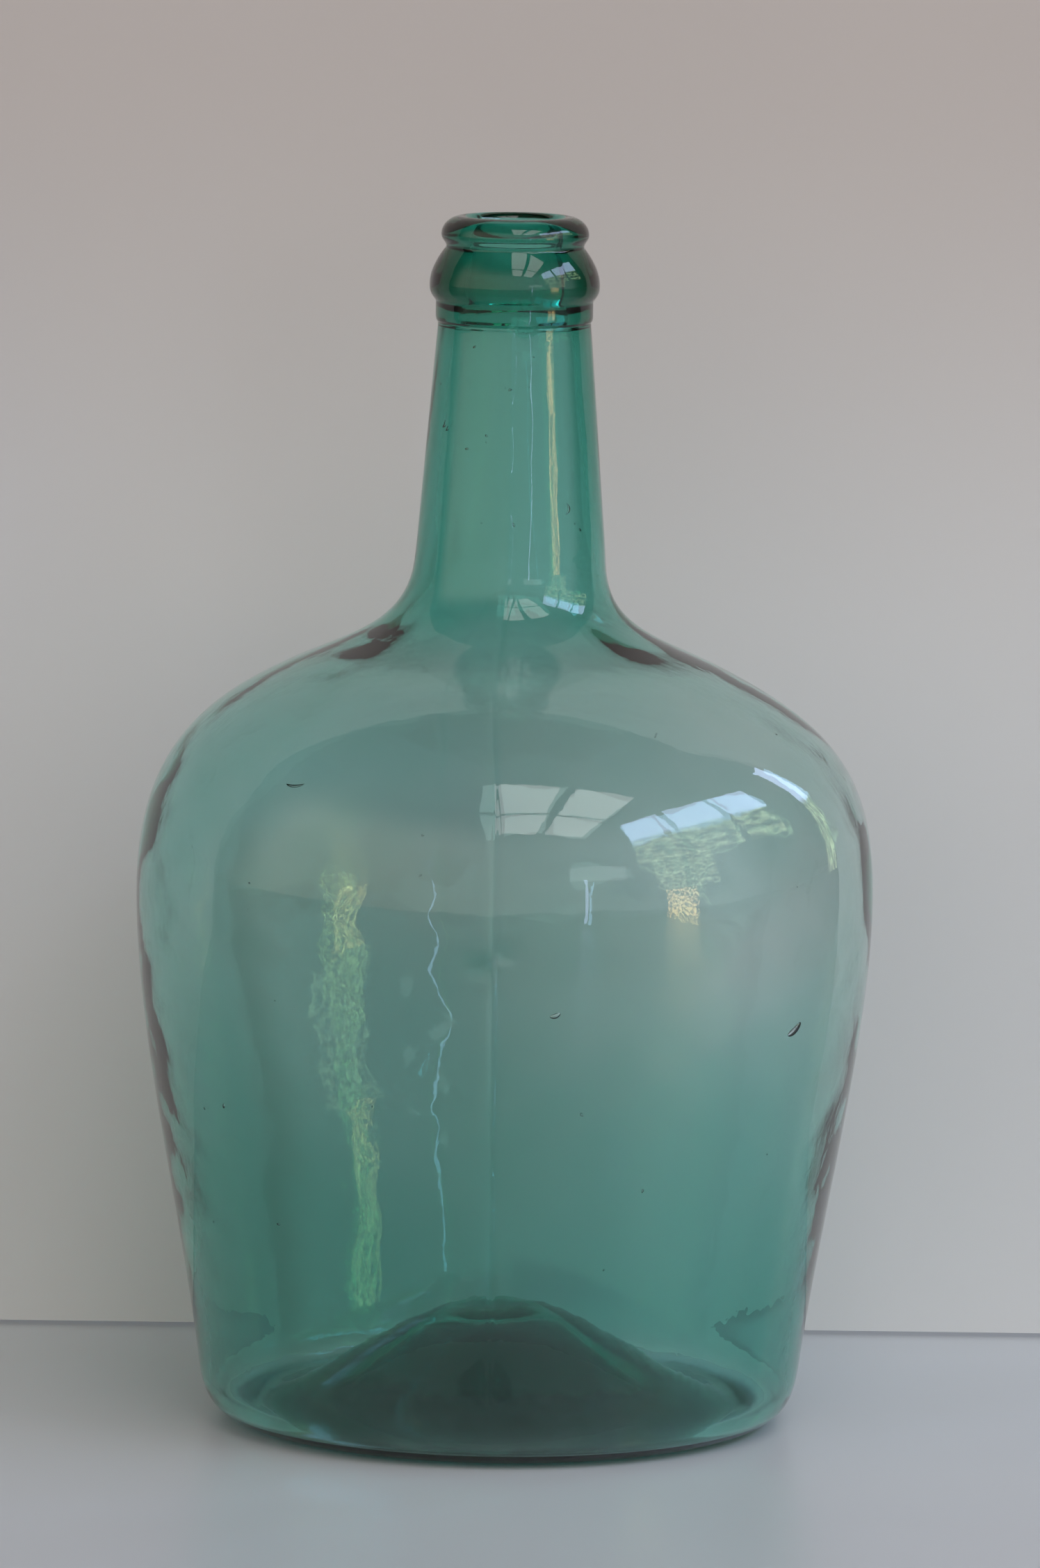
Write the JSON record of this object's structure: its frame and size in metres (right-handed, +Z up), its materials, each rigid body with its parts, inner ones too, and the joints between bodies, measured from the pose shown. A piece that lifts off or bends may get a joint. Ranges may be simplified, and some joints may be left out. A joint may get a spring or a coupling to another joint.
{
  "type": "glass demijohn",
  "caption": "Green glass demijohn: round shoulder, tapering body, pushed-up base, tall narrow neck with a collar and a rolled lip.",
  "frame": {"origin": "centre of the flat ring that the bottle stands on", "axes": "+Z up along the bottle's axis, from the base to the mouth"},
  "size_m": [0.2018, 0.2018, 0.332],
  "materials": {
    "green_glass": "clear aqua-green moulded glass, glossy, with faint ripples, seeds and light handling wear"
  },
  "bodies": {
    "root": {"glass_bottle": "green_glass"}
  },
  "joints": []
}
